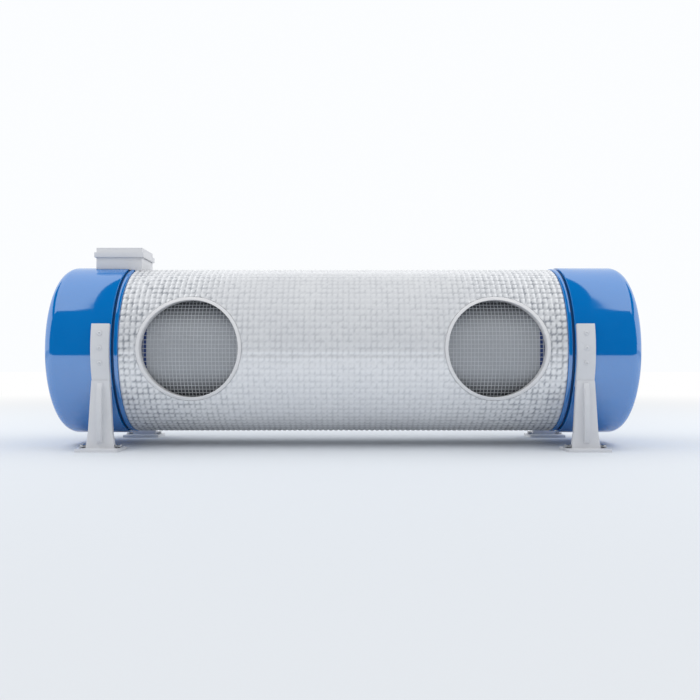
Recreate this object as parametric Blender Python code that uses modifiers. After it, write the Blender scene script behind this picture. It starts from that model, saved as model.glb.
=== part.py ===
"""A salt chlorine generator cell for a pool's return line, as separate pieces in their places.

A round tube with two side ports stands between two end caps on four leg brackets. Water enters
one port, passes the screen, runs through the plate stack and leaves by the other port. Two feed
rods carry the current from the stack through the left bulkhead to the junction box on top.
The floor is at Z = 0, and the tube's axis runs along X, above the origin.
"""

import math

import bmesh
import bpy
from mathutils import Matrix, Vector

MM = 0.001

# Clearances
GAP = 0.3 * MM  # between pieces that touch
HOLE_CLEARANCE = 0.3 * MM  # all round a rod or a screw in its hole
CUT_MARGIN = 5 * MM  # how far a cutter runs past what it cuts

# Facets of round pieces, all multiples of 4 so that their outer sizes are exact
ROUND_STEPS = 48
PORT_STEPS = 48
ROD_STEPS = 12
SCREW_STEPS = 8

# Tube
TUBE_RADIUS = 140 * MM
TUBE_WALL = 10 * MM
TUBE_HALF_LENGTH = 357 * MM  # of the stretch with the full diameter
SPIGOT_WALL = 5 * MM
SPIGOT_LENGTH = 17.7 * MM
TUBE_BORE = TUBE_RADIUS - TUBE_WALL
SPIGOT_RADIUS = TUBE_BORE + SPIGOT_WALL
SPIGOT_END = TUBE_HALF_LENGTH + SPIGOT_LENGTH

# Ports, on the front
PORT_BORE_RADIUS = 78.5 * MM
PORT_RING_WALL = 5.5 * MM
PORT_RING_PROUD = 0.8 * MM
PORT_END_MARGIN = 27.7 * MM  # from the port ring to the tube's shoulder
PORT_SCREEN_GAP = 1.1 * MM
PORT_RING_RADIUS = PORT_BORE_RADIUS + PORT_RING_WALL
PORT_X = TUBE_HALF_LENGTH - PORT_END_MARGIN - PORT_RING_RADIUS

# Collars, seals and end caps
COLLAR_PROUD = 1.4 * MM
COLLAR_WIDTH = 6.4 * MM
SEAL_WIDTH = 3.4 * MM
SEAL_RECESS = 3.5 * MM
CAP_PROUD = 3 * MM
CAP_LENGTH = 109.8 * MM
CAP_SIDE_WALL = 15 * MM
CAP_END_WALL = 7 * MM
CAP_OUTER_FILLET = 21 * MM
CAP_INNER_FILLET = 12 * MM
CAP_OUTER_FILLET_STEPS = 5
CAP_INNER_FILLET_STEPS = 3
CAP_RADIUS = TUBE_RADIUS + CAP_PROUD
COLLAR_START = TUBE_HALF_LENGTH + GAP
SEAL_START = COLLAR_START + COLLAR_WIDTH + GAP
CAP_START = SEAL_START + SEAL_WIDTH + GAP
CAP_END = CAP_START + CAP_LENGTH

# Bulkheads and their gaskets
GASKET_THICKNESS = 2 * MM
BULKHEAD_THICKNESS = 15 * MM
BULKHEAD_BOSS = 6 * MM
BULKHEAD_INSET = 0.1 * MM  # in from the outside of the spigot
BULKHEAD_RADIUS = SPIGOT_RADIUS - BULKHEAD_INSET
BULKHEAD_INNER = SPIGOT_END + GAP + GASKET_THICKNESS + GAP
BULKHEAD_OUTER = BULKHEAD_INNER + BULKHEAD_THICKNESS

# Screen, a sleeve along the whole tube
SCREEN_SETBACK = 10.5 * MM  # in from the tube's bore
SCREEN_WALL = 1 * MM
SCREEN_RADIUS = TUBE_BORE - SCREEN_SETBACK
SCREEN_BORE = SCREEN_RADIUS - SCREEN_WALL

# Plate stack between the ports
PLATE_COUNT = 7
PLATE_PITCH = 16 * MM
PLATE_THICKNESS = 1.5 * MM
PLATE_HEIGHT = 120 * MM
STACK_END_MARGIN = 11 * MM  # from the port ring to the plates
SPACER_THICKNESS = 10 * MM
SPACER_INSET = 6 * MM  # in from the plates' ends
SPACER_CLEARANCE = 0.5 * MM
SLOT_DEPTH = 5 * MM
WINDOW_MARGIN = 9.25 * MM  # beside the outer plates
STACK_HALF_LENGTH = PORT_X - PORT_RING_RADIUS - STACK_END_MARGIN
SPACER_OUTER = STACK_HALF_LENGTH - SPACER_INSET
SPACER_INNER = SPACER_OUTER - SPACER_THICKNESS
OUTER_PLATE_Y = PLATE_PITCH * (PLATE_COUNT - 1) / 2

# Tie bolts, which pull the bulkheads against the tube
TIE_RADIUS = 4 * MM
TIE_INSET = 8.8 * MM  # in from the screen
TIE_SIDE = 13 * MM  # in from the outer plates
TIE_HEAD_RADIUS = 7.5 * MM
TIE_HEAD_HEIGHT = 6 * MM
TIE_THREAD_DEPTH = 17 * MM
TIE_CIRCLE = SCREEN_BORE - TIE_INSET
TIE_Y = OUTER_PLATE_Y - TIE_SIDE
TIE_Z = math.sqrt(TIE_CIRCLE**2 - TIE_Y**2)

# Feed rods, their lugs on the outer plates and their glands in the left bulkhead
FEED_RADIUS = 4.5 * MM
FEED_INSET = 11.6 * MM  # in from the screen
LUG_SIZE = 14 * MM
LUG_LENGTH = 24 * MM
LUG_MARGIN = 3 * MM  # from the spacer
GLAND_RADIUS = 9 * MM
GLAND_HEAD_RADIUS = 13 * MM
GLAND_HEAD_HEIGHT = 6 * MM
FEED_Y = OUTER_PLATE_Y + PLATE_THICKNESS / 2 + GAP + LUG_SIZE / 2
FEED_Z = math.sqrt((SCREEN_BORE - FEED_INSET) ** 2 - FEED_Y**2)
LUG_START = SPACER_INNER - LUG_MARGIN
LUG_END = LUG_START - LUG_LENGTH

# Links in the dry end of the left cap, and the studs that rise from them into the box
LINK_THICKNESS = 12 * MM
LINK_MARGIN = 3 * MM
LINK_END = 7 * MM  # past the hole at each end
ROD_OVERHANG = 1.5 * MM
STUD_RADIUS = 3 * MM
STUD_Y = 18 * MM
STUD_HEAD_RADIUS = 5.5 * MM
STUD_HEAD_HEIGHT = 2.5 * MM
STUD_OVERHANG = 3 * MM
LINK_X = BULKHEAD_OUTER + GAP + GLAND_HEAD_HEIGHT + LINK_MARGIN + LINK_THICKNESS / 2

# Junction box, over the seam between the left cap and the tube
BOX_WALL = 3 * MM
BOX_FLOOR = 3.5 * MM  # over the cap's highest line
BOX_SINK = 15 * MM  # below the tube's top, before the saddle is cut
BOX_LENGTH = 78 * MM
BOX_RISE = 16.6 * MM  # from the cap's highest line to the rim
BLOCK_LENGTH = 16 * MM
BLOCK_HEIGHT = 8 * MM
BLOCK_SIDE = 5 * MM  # past each stud
BLOCK_END_MARGIN = 7.4 * MM
BOSS_RADIUS = 4.5 * MM
BOSS_MARGIN = 3.5 * MM
BOSS_OVERLAP = 0.5 * MM
BOX_OUTER_X = LINK_X + BLOCK_LENGTH / 2 + BLOCK_END_MARGIN
BOX_X = BOX_OUTER_X - BOX_LENGTH / 2
BLOCK_HALF_WIDTH = STUD_Y + BLOCK_SIDE
BOX_HALF_WIDTH = BLOCK_HALF_WIDTH + BOSS_MARGIN + 2 * BOSS_RADIUS - BOSS_OVERLAP + BOX_WALL
BOX_FLOOR_Z = CAP_RADIUS + BOX_FLOOR
BOX_RIM_Z = CAP_RADIUS + BOX_RISE

# Lid, its gasket and its two captive screws
LID_HEIGHT = 14.8 * MM  # above the box's rim
LID_TOP = 3 * MM
LID_SKIRT = 1.6 * MM  # how far the lip reaches down past the rim
LID_LIP_HEIGHT = 8.4 * MM
LID_LIP_WALL = 2.5 * MM
LID_FIT = 0.4 * MM
LID_WALL = 3.5 * MM
LID_GASKET = 1.2 * MM
LID_GASKET_MARGIN = 0.3 * MM
LID_SCREW_RADIUS = 1.5 * MM
LID_SCREW_HEAD = 4 * MM
LID_SCREW_HEAD_HEIGHT = 2.2 * MM
LID_SCREW_GRIP = 8 * MM  # into the box's boss
BOX_SCREW_DEPTH = 10 * MM
LID_SEAT_Z = BOX_RIM_Z + GAP + LID_GASKET + GAP
LID_TOP_Z = BOX_RIM_Z + LID_HEIGHT

# Cable gland in the box's back wall
CABLE_BORE_RADIUS = 3.5 * MM
CABLE_THREAD_RADIUS = 6 * MM
CABLE_HEX_RADIUS = 8 * MM
CABLE_HEX_LENGTH = 7 * MM
CABLE_DOME_LENGTH = 10 * MM
CABLE_DOME_RADIUS = 7.2 * MM
CABLE_MOUTH_RADIUS = 5 * MM
CABLE_THREAD_INSIDE = 2 * MM
CABLE_DROP = 10.6 * MM  # below the rim

# Leg brackets
FLOOR_CLEARANCE = 19 * MM  # under the caps
STRAP_WIDTH = 28.4 * MM
STRAP_THICKNESS = 7 * MM
STRAP_INSET = 1.1 * MM  # from the cap's mouth
STRAP_TOP_ANGLE = math.radians(15)
STRAP_LOW_ANGLE = math.radians(-25)
STRAP_STEPS = 8
LEG_PROUD = 0.5 * MM  # of the plate's outer face, past the cap
LEG_THICKNESS = 9 * MM
LEG_FOOT_WIDTH = 46 * MM
LEG_FLARE_HEIGHT = 30 * MM  # of the wider stretch above the foot
LEG_FLARE = 4 * MM
RIB_WIDTH = 7.8 * MM
RIB_DEPTH = 8 * MM
RIB_LOW_END = 12 * MM  # above the floor
FOOT_WIDTH = 66 * MM
FOOT_DEPTH = 58 * MM
FOOT_THICKNESS = 4.5 * MM
FOOT_SHIFT = 6.5 * MM  # in from the plate's outer face
FOOT_HOLE_RADIUS = 3.3 * MM
FOOT_HOLE_X = 27 * MM
STRAP_SCREW_RADIUS = 2 * MM
STRAP_SCREW_HEAD = 3.6 * MM
STRAP_SCREW_HEAD_HEIGHT = 1.8 * MM
STRAP_SCREW_PITCH = math.radians(9)
STRAP_SCREW_GRIP = 8 * MM  # into the bulkhead's rim
AXIS_HEIGHT = CAP_RADIUS + FLOOR_CLEARANCE
LEG_X = CAP_START + STRAP_INSET + STRAP_WIDTH / 2
STRAP_INNER = CAP_RADIUS + GAP
STRAP_OUTER = STRAP_INNER + STRAP_THICKNESS
LEG_FACE = CAP_RADIUS + LEG_PROUD

FINISHES = {  # colour, roughness, metallic
    "tube_white": ((0.80, 0.81, 0.83), 0.45, 0.0),
    "port_white": ((0.72, 0.73, 0.74), 0.35, 0.0),
    "cap_blue": ((0.002, 0.138, 0.456), 0.12, 0.0),
    "seal_navy": ((0.002, 0.03, 0.12), 0.5, 0.0),
    "bracket_grey": ((0.55, 0.56, 0.58), 0.45, 0.0),
    "box_grey": ((0.58, 0.59, 0.62), 0.4, 0.0),
    "black_rubber": ((0.02, 0.02, 0.02), 0.7, 0.0),
    "screen_titanium": ((0.55, 0.56, 0.58), 0.35, 1.0),
    "plate_oxide": ((0.09, 0.09, 0.10), 0.5, 0.7),
    "rod_titanium": ((0.48, 0.47, 0.46), 0.3, 1.0),
    "link_copper": ((0.72, 0.38, 0.24), 0.3, 1.0),
    "spacer_white": ((0.75, 0.75, 0.72), 0.5, 0.0),
    "block_cream": ((0.70, 0.66, 0.55), 0.5, 0.0),
    "steel": ((0.60, 0.60, 0.62), 0.3, 1.0),
}


def clear_scene():
    for obj in list(bpy.data.objects):
        bpy.data.objects.remove(obj, do_unlink=True)


def make_collection(name):
    made = bpy.data.collections.new(name)
    bpy.context.scene.collection.children.link(made)
    return made


def make_finish(name):
    colour, roughness, metallic = FINISHES[name]
    made = bpy.data.materials.new(name)
    made.use_nodes = True
    shader = made.node_tree.nodes["Principled BSDF"]
    shader.inputs["Base Color"].default_value = (*colour, 1)
    shader.inputs["Roughness"].default_value = roughness
    shader.inputs["Metallic"].default_value = metallic
    return made


clear_scene()
PARTS = make_collection("salt_chlorine_generator")
CUTTERS = make_collection("cutters")


def place(name, mesh, finish=None):
    """An object for the mesh: a piece with its own finish, or a cutter where none is named."""
    obj = bpy.data.objects.new(name, mesh)
    if finish is None:
        CUTTERS.objects.link(obj)
        obj.hide_render = True
        obj.display_type = "WIRE"
    else:
        PARTS.objects.link(obj)
        mesh.materials.clear()
        own = make_finish(finish)
        own.name = f"{name}_{finish}"
        mesh.materials.append(own)
    return obj


def smooth(obj):
    obj.data.shade_smooth()
    obj.data.set_sharp_from_angle(angle=math.radians(30))


def mesh_from(build, name):
    """A mesh made by a function that fills a bmesh."""
    work = bmesh.new()
    build(work)
    mesh = bpy.data.meshes.new(name)
    work.to_mesh(mesh)
    work.free()
    return mesh


def box(name, low, high, finish=None):
    """A block between two corners, given from the tube's axis, with its origin at its centre."""
    low, high = Vector(low), Vector(high)
    size = Matrix.Diagonal((*(high - low), 1))
    mesh = mesh_from(lambda work: bmesh.ops.create_cube(work, size=1, matrix=size), name)
    obj = place(name, mesh, finish)
    obj.location = (low + high) / 2 + Vector((0, 0, AXIS_HEIGHT))
    return obj


def add_rod(work, start, end, radius, steps=ROD_STEPS, end_radius=None):
    """A round bar between two points, or a cone where its end has a radius of its own."""
    start, end = Vector(start), Vector(end)
    along = (end - start).to_track_quat("Z", "Y").to_matrix().to_4x4()
    bmesh.ops.create_cone(
        work,
        cap_ends=True,
        segments=steps,
        radius1=radius,
        radius2=radius if end_radius is None else end_radius,
        depth=(end - start).length,
        matrix=Matrix.Translation((start + end) / 2) @ along,
    )


def rods(name, bars, finish=None, steps=ROD_STEPS):
    """Round bars as (start, end, radius), from the tube's axis, in one object."""

    def build(work):
        for start, end, radius in bars:
            add_rod(work, start, end, radius, steps)

    obj = place(name, mesh_from(build, name), finish)
    obj.location.z = AXIS_HEIGHT
    smooth(obj)
    return obj


def turned(name, profile, finish=None, closed=True, steps=ROUND_STEPS):
    """A turned shape about its own Z axis. The profile's (height, radius) points run down its
    outer side and, in a ring, back up its inner side."""

    def build(work):
        points = [work.verts.new((radius, 0, height)) for height, radius in profile]
        for first, second in zip(points, points[1:]):
            work.edges.new((first, second))
        if closed:
            work.edges.new((points[-1], points[0]))

    obj = place(name, mesh_from(build, name), finish)
    screw = obj.modifiers.new("turn", "SCREW")
    screw.axis = "Z"
    screw.angle = math.tau
    screw.steps = steps
    screw.render_steps = steps
    screw.use_merge_vertices = True
    screw.merge_threshold = 0.01 * MM
    screw.use_smooth_shade = True
    return obj


def along_tube(obj, side):
    """Turns a piece so that its own Z points along X, away from the middle on that side."""
    obj.location = (0, 0, AXIS_HEIGHT)
    obj.rotation_euler = (0, side * math.pi / 2, 0)
    return obj


def ring(start, end, inner, outer):
    """The profile of a plain ring between two heights."""
    return [(end, outer), (start, outer), (start, inner), (end, inner)]


def plug(start, end, radius):
    """The profile of a solid round plug between two heights."""
    return [(end, 0), (end, radius), (start, radius), (start, 0)]


def outline_plate(name, points, thickness, finish=None):
    """A flat outline in its own XY plane as a plate of that thickness, half on each side."""
    curve = bpy.data.curves.new(name, "CURVE")
    curve.dimensions = "2D"
    curve.fill_mode = "BOTH"
    curve.extrude = thickness / 2
    line = curve.splines.new("POLY")
    line.points.add(len(points) - 1)
    for point, (x, y) in zip(line.points, points):
        point.co = (x, y, 0, 1)
    line.use_cyclic_u = True
    holder = bpy.data.objects.new(name + "_outline", curve)
    CUTTERS.objects.link(holder)
    bpy.context.view_layer.update()
    graph = bpy.context.evaluated_depsgraph_get()
    mesh = bpy.data.meshes.new_from_object(holder.evaluated_get(graph))
    bpy.data.objects.remove(holder)
    bpy.data.curves.remove(curve)
    work = bmesh.new()
    work.from_mesh(mesh)
    bmesh.ops.remove_doubles(work, verts=work.verts, dist=0.01 * MM)
    bmesh.ops.recalc_face_normals(work, faces=work.faces)
    work.to_mesh(mesh)
    work.free()
    return place(name, mesh, finish)


def combine(obj, other, operation):
    """Adds a Boolean with another object, which becomes a helper."""
    step = obj.modifiers.new(f"{operation.lower()}_{other.name}", "BOOLEAN")
    step.operation = operation
    step.solver = "EXACT"
    step.object = other
    return obj


def side_name(side):
    return "left" if side < 0 else "right"


def face_name(face):
    return "front" if face < 0 else "rear"


SIDES = (-1, 1)
FACES = (-1, 1)  # front and rear
TIE_PLACES = {
    f"{face_name(face)}_{level}": (
        face * TIE_Y,
        lift * TIE_Z,
    )
    for face in FACES
    for level, lift in (("top", 1), ("low", -1))
}


def strap_point(side, face, angle, radius):
    """A point round the cap at the strap's middle, by its angle above the tube's axis."""
    return Vector((side * LEG_X, face * radius * math.cos(angle), radius * math.sin(angle)))


def strap_screw_angles():
    return [step * STRAP_SCREW_PITCH for step in (1, 0, -1)]


def strap_screw_holes(side):
    """A cutter with the holes for all strap screws of one cap."""
    bars = []
    for face in FACES:
        for angle in strap_screw_angles():
            deep = BULKHEAD_RADIUS - STRAP_SCREW_GRIP - 2 * GAP
            start = strap_point(side, face, angle, deep)
            end = strap_point(side, face, angle, STRAP_OUTER + CUT_MARGIN)
            bars.append((start, end, STRAP_SCREW_RADIUS + HOLE_CLEARANCE))
    return rods(f"strap_holes_{side_name(side)}", bars, steps=SCREW_STEPS)


def tube():
    profile = [
        (SPIGOT_END, SPIGOT_RADIUS),
        (TUBE_HALF_LENGTH, SPIGOT_RADIUS),
        (TUBE_HALF_LENGTH, TUBE_RADIUS),
        (-TUBE_HALF_LENGTH, TUBE_RADIUS),
        (-TUBE_HALF_LENGTH, SPIGOT_RADIUS),
        (-SPIGOT_END, SPIGOT_RADIUS),
        (-SPIGOT_END, TUBE_BORE),
        (SPIGOT_END, TUBE_BORE),
    ]
    obj = along_tube(turned("housing_tube", profile, "tube_white"), 1)
    for side in SIDES:
        hole = rods(
            f"port_hole_{side_name(side)}",
            [
                (
                    (side * PORT_X, -TUBE_RADIUS - CUT_MARGIN, 0),
                    (side * PORT_X, -CUT_MARGIN, 0),
                    PORT_RING_RADIUS + GAP,
                )
            ],
            steps=PORT_STEPS,
        )
        combine(obj, hole, "DIFFERENCE")


def port_rings():
    """Sleeves in the tube's wall, whose ends follow the tube outside and the screen inside."""
    inner, outer = SCREEN_RADIUS + PORT_SCREEN_GAP, TUBE_RADIUS + PORT_RING_PROUD
    shell = along_tube(
        turned("port_saddle", ring(-TUBE_HALF_LENGTH, TUBE_HALF_LENGTH, inner, outer)), 1
    )
    for side in SIDES:
        profile = ring(CUT_MARGIN, outer + CUT_MARGIN, PORT_BORE_RADIUS, PORT_RING_RADIUS)
        name = f"port_ring_{side_name(side)}"
        obj = turned(name, profile, "port_white", steps=PORT_STEPS)
        obj.location = (side * PORT_X, 0, AXIS_HEIGHT)
        obj.rotation_euler = (math.pi / 2, 0, 0)
        combine(obj, shell, "INTERSECT")


def collars_and_seals():
    inner = SPIGOT_RADIUS + GAP
    for side in SIDES:
        profile = ring(COLLAR_START, COLLAR_START + COLLAR_WIDTH, inner, TUBE_RADIUS + COLLAR_PROUD)
        along_tube(turned(f"collar_{side_name(side)}", profile, "cap_blue"), side)
        profile = ring(SEAL_START, SEAL_START + SEAL_WIDTH, inner, CAP_RADIUS - SEAL_RECESS)
        along_tube(turned(f"collar_seal_{side_name(side)}", profile, "seal_navy"), side)


def fillet(height, radius, size, steps, inward=False):
    """Points of a quarter circle from an end face round to a side, for a corner at that place."""
    angles = [step * math.pi / 2 / steps for step in range(steps + 1)]
    points = [
        (height - size + size * math.cos(angle), radius - size + size * math.sin(angle))
        for angle in angles
    ]
    return points[::-1] if inward else points


def end_caps():
    """Cups with a socket over the tube's spigot and the bulkhead, and a dry space behind."""
    cavity = CAP_RADIUS - CAP_SIDE_WALL
    socket = SPIGOT_RADIUS + GAP
    shoulder = BULKHEAD_OUTER + GAP
    outer = fillet(CAP_END, CAP_RADIUS, CAP_OUTER_FILLET, CAP_OUTER_FILLET_STEPS)
    inner = fillet(
        CAP_END - CAP_END_WALL, cavity, CAP_INNER_FILLET, CAP_INNER_FILLET_STEPS, inward=True
    )
    profile = [
        (CAP_END, 0),
        *outer,
        (CAP_START, CAP_RADIUS),
        (CAP_START, socket),
        (shoulder, socket),
        (shoulder, cavity),
        *inner,
        (CAP_END - CAP_END_WALL, 0),
    ]
    for side in SIDES:
        name = f"end_cap_{side_name(side)}"
        obj = along_tube(turned(name, profile, "cap_blue", closed=False), side)
        combine(obj, strap_screw_holes(side), "DIFFERENCE")
        if side < 0:
            combine(obj, stud_holes(), "DIFFERENCE")


def bulkheads():
    profile = [
        (BULKHEAD_OUTER, 0),
        (BULKHEAD_OUTER, BULKHEAD_RADIUS),
        (BULKHEAD_INNER, BULKHEAD_RADIUS),
        (BULKHEAD_INNER, SCREEN_BORE - GAP),
        (BULKHEAD_INNER - BULKHEAD_BOSS, SCREEN_BORE - GAP),
        (BULKHEAD_INNER - BULKHEAD_BOSS, 0),
    ]
    start = BULKHEAD_INNER - BULKHEAD_BOSS - CUT_MARGIN
    ends = {-1: BULKHEAD_OUTER + CUT_MARGIN, 1: start + CUT_MARGIN + TIE_THREAD_DEPTH}
    for side in SIDES:
        name = f"bulkhead_{side_name(side)}"
        obj = along_tube(turned(name, profile, "cap_blue", closed=False), side)
        combine(obj, bpy.data.objects[f"strap_holes_{side_name(side)}"], "DIFFERENCE")
        bars = [
            ((side * start, y, z), (side * ends[side], y, z), TIE_RADIUS + HOLE_CLEARANCE)
            for y, z in TIE_PLACES.values()
        ]
        if side < 0:
            bars += [
                (
                    (side * start, face * FEED_Y, FEED_Z),
                    (side * ends[side], face * FEED_Y, FEED_Z),
                    GLAND_RADIUS + HOLE_CLEARANCE,
                )
                for face in FACES
            ]
        combine(obj, rods(f"bulkhead_holes_{side_name(side)}", bars), "DIFFERENCE")
        start_gasket = SPIGOT_END + GAP
        gasket = ring(
            start_gasket, start_gasket + GASKET_THICKNESS, TUBE_BORE + GAP, SPIGOT_RADIUS - GAP
        )
        along_tube(turned(f"bulkhead_gasket_{side_name(side)}", gasket, "black_rubber"), side)


def screen():
    reach = BULKHEAD_INNER - GAP
    profile = ring(-reach, reach, SCREEN_BORE, SCREEN_RADIUS)
    along_tube(turned("screen_sleeve", profile, "screen_titanium"), 1)


def window_outline():
    """The spacers' window, whose upper and lower edges have a slot for each plate."""
    half_width = OUTER_PLATE_Y + WINDOW_MARGIN
    edge = PLATE_HEIGHT / 2 - SLOT_DEPTH
    slot_top = PLATE_HEIGHT / 2 + GAP
    slot_half = PLATE_THICKNESS / 2 + GAP
    upper = [(-half_width, edge)]
    for number in range(PLATE_COUNT):
        middle = -OUTER_PLATE_Y + number * PLATE_PITCH
        upper += [
            (middle - slot_half, edge),
            (middle - slot_half, slot_top),
            (middle + slot_half, slot_top),
            (middle + slot_half, edge),
        ]
    upper.append((half_width, edge))
    return upper + [(y, -z) for y, z in reversed(upper)]


def spacers():
    window = outline_plate("spacer_window", window_outline(), 2 * SPIGOT_END)
    window.location.z = AXIS_HEIGHT
    window.rotation_euler = (math.pi / 2, 0, math.pi / 2)
    for side in SIDES:
        profile = plug(SPACER_INNER, SPACER_OUTER, SCREEN_BORE - SPACER_CLEARANCE)
        name = f"spacer_{side_name(side)}"
        obj = along_tube(turned(name, profile, "spacer_white", closed=False), side)
        combine(obj, window, "DIFFERENCE")
        start, end = side * (SPACER_INNER - CUT_MARGIN), side * (SPACER_OUTER + CUT_MARGIN)
        bars = [
            ((start, y, z), (end, y, z), TIE_RADIUS + HOLE_CLEARANCE)
            for y, z in TIE_PLACES.values()
        ]
        if side < 0:
            bars += [
                (
                    (start, face * FEED_Y, FEED_Z),
                    (end, face * FEED_Y, FEED_Z),
                    FEED_RADIUS + HOLE_CLEARANCE,
                )
                for face in FACES
            ]
        combine(obj, rods(f"spacer_holes_{side_name(side)}", bars), "DIFFERENCE")


def plates():
    """Upright plates along the tube. The two outer ones have a tab for their feed lug."""
    half = PLATE_HEIGHT / 2
    plain = [
        (-STACK_HALF_LENGTH, -half),
        (STACK_HALF_LENGTH, -half),
        (STACK_HALF_LENGTH, half),
    ]
    tab_top = FEED_Z + LUG_SIZE / 2
    tab = [(-LUG_END, half), (-LUG_END, tab_top), (-LUG_START, tab_top), (-LUG_START, half)]
    for number in range(PLATE_COUNT):
        outer = number in (0, PLATE_COUNT - 1)
        outline = plain + (tab if outer else []) + [(-STACK_HALF_LENGTH, half)]
        name = f"electrode_plate_{number + 1}"
        obj = outline_plate(name, outline, PLATE_THICKNESS, "plate_oxide")
        obj.location = (0, -OUTER_PLATE_Y + number * PLATE_PITCH, AXIS_HEIGHT)
        obj.rotation_euler = (math.pi / 2, 0, 0)


def headed_rod(name, head_start, tip, head_radius, head_height, radius, finish, steps, head_steps):
    """A rod from under its head to its tip, joined to a head of its own number of sides."""
    start, tip = Vector(head_start), Vector(tip)
    outward = (start - tip).normalized()
    head_top = start + outward * head_height
    inside = start + outward * (head_height / 2)
    head = rods(f"{name}_head", [(start, head_top, head_radius)], steps=head_steps)
    shank = rods(name, [(inside, tip, radius)], finish, steps=steps)
    return combine(shank, head, "UNION")


def tie_bolts():
    for place_name, (y, z) in TIE_PLACES.items():
        head_start = (-BULKHEAD_OUTER - GAP, y, z)
        tip = (BULKHEAD_INNER - BULKHEAD_BOSS + TIE_THREAD_DEPTH - GAP, y, z)
        headed_rod(
            f"tie_bolt_{place_name}",
            head_start,
            tip,
            TIE_HEAD_RADIUS,
            TIE_HEAD_HEIGHT,
            TIE_RADIUS,
            "steel",
            ROD_STEPS,
            6,
        )


def feed_parts():
    """The current's way from each outer plate to its stud: lug, rod, gland and link."""
    for face in FACES:
        end = face_name(face)
        rod_hole = rods(
            f"feed_hole_{end}",
            [
                (
                    (-LINK_X - LINK_THICKNESS, face * FEED_Y, FEED_Z),
                    (CUT_MARGIN - LUG_END, face * FEED_Y, FEED_Z),
                    FEED_RADIUS + HOLE_CLEARANCE,
                )
            ],
        )
        rods(
            f"feed_rod_{end}",
            [
                (
                    (-LINK_X - LINK_THICKNESS / 2 - ROD_OVERHANG, face * FEED_Y, FEED_Z),
                    (-LUG_END, face * FEED_Y, FEED_Z),
                    FEED_RADIUS,
                )
            ],
            "rod_titanium",
        )
        half = LUG_SIZE / 2
        lug = box(
            f"feed_lug_{end}",
            (-LUG_START, face * FEED_Y - half, FEED_Z - half),
            (-LUG_END, face * FEED_Y + half, FEED_Z + half),
            "rod_titanium",
        )
        combine(lug, rod_hole, "DIFFERENCE")
        gland_profile = [
            (BULKHEAD_OUTER + GAP + GLAND_HEAD_HEIGHT, GLAND_HEAD_RADIUS),
            (BULKHEAD_OUTER + GAP, GLAND_HEAD_RADIUS),
            (BULKHEAD_OUTER + GAP, GLAND_RADIUS),
            (BULKHEAD_INNER - BULKHEAD_BOSS, GLAND_RADIUS),
            (BULKHEAD_INNER - BULKHEAD_BOSS, FEED_RADIUS + HOLE_CLEARANCE),
            (BULKHEAD_OUTER + GAP + GLAND_HEAD_HEIGHT, FEED_RADIUS + HOLE_CLEARANCE),
        ]
        gland = turned(f"rod_gland_{end}", gland_profile, "spacer_white", steps=ROD_STEPS)
        along_tube(gland, -1)
        gland.location += Vector((0, face * FEED_Y, FEED_Z))
        inner_y, outer_y = STUD_Y - LINK_END, FEED_Y + LINK_END
        link = box(
            f"stud_link_{end}",
            (-LINK_X - LINK_THICKNESS / 2, min(face * inner_y, face * outer_y), FEED_Z - half),
            (-LINK_X + LINK_THICKNESS / 2, max(face * inner_y, face * outer_y), FEED_Z + half),
            "link_copper",
        )
        combine(link, rod_hole, "DIFFERENCE")
        combine(link, stud_holes(), "DIFFERENCE")


def stud_holes():
    """One cutter for both studs' holes, from under the links up into the box."""
    if "stud_holes" in bpy.data.objects:
        return bpy.data.objects["stud_holes"]
    low, high = FEED_Z - LUG_SIZE, BOX_FLOOR_Z + BLOCK_HEIGHT + CUT_MARGIN
    bars = [
        ((-LINK_X, face * STUD_Y, low), (-LINK_X, face * STUD_Y, high), STUD_RADIUS + HOLE_CLEARANCE)
        for face in FACES
    ]
    return rods("stud_holes", bars)


def studs_and_block():
    block_low = BOX_FLOOR_Z + GAP
    block_top = block_low + BLOCK_HEIGHT
    block = box(
        "terminal_block",
        (-LINK_X - BLOCK_LENGTH / 2, -BLOCK_HALF_WIDTH, block_low),
        (-LINK_X + BLOCK_LENGTH / 2, BLOCK_HALF_WIDTH, block_top),
        "block_cream",
    )
    combine(block, stud_holes(), "DIFFERENCE")
    for face in FACES:
        headed_rod(
            f"terminal_stud_{face_name(face)}",
            (-LINK_X, face * STUD_Y, block_top + GAP),
            (-LINK_X, face * STUD_Y, FEED_Z - LUG_SIZE / 2 - STUD_OVERHANG),
            STUD_HEAD_RADIUS,
            STUD_HEAD_HEIGHT,
            STUD_RADIUS,
            "steel",
            ROD_STEPS,
            6,
        )


def boss_places():
    """The two box bosses, in opposite corners, against the side walls."""
    x_reach = BOX_LENGTH / 2 - BOX_WALL - BOSS_RADIUS - 2 * BOSS_OVERLAP
    y_reach = BOX_HALF_WIDTH - BOX_WALL - BOSS_RADIUS + BOSS_OVERLAP
    return [(-BOX_X - x_reach, y_reach), (-BOX_X + x_reach, -y_reach)]


def rectangle_between(name, half_length, half_width, low, high, finish=None):
    """A block centred over the box, between two heights above the tube's axis."""
    return box(
        name,
        (-BOX_X - half_length, -half_width, low),
        (-BOX_X + half_length, half_width, high),
        finish,
    )


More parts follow.
